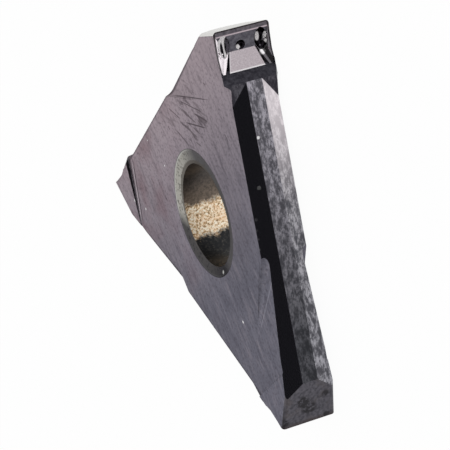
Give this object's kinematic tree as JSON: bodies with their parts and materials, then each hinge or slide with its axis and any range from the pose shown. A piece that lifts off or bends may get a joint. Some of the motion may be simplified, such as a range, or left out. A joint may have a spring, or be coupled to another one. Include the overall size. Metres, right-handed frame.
{
  "type": "carbide grooving insert",
  "caption": "Triangular screw-on carbide insert with proud grooving edges, moulded chip breakers, ground side relief and a countersunk centre hole.",
  "frame": {"origin": "on the screw axis, at the middle of the body thickness", "axes": "+Z along the screw axis out of the seated face, +X out of the side that carries the first chip breaker, +Y along that side toward its cutting corner"},
  "size_m": [0.0184, 0.0204, 0.003],
  "materials": {
    "coated_carbide": "PVD-coated sintered carbide, dark violet grey, satin on the ground faces and glossy in the moulded chip breaker"
  },
  "bodies": {
    "root": {"grooving_insert": "coated_carbide"}
  },
  "joints": []
}
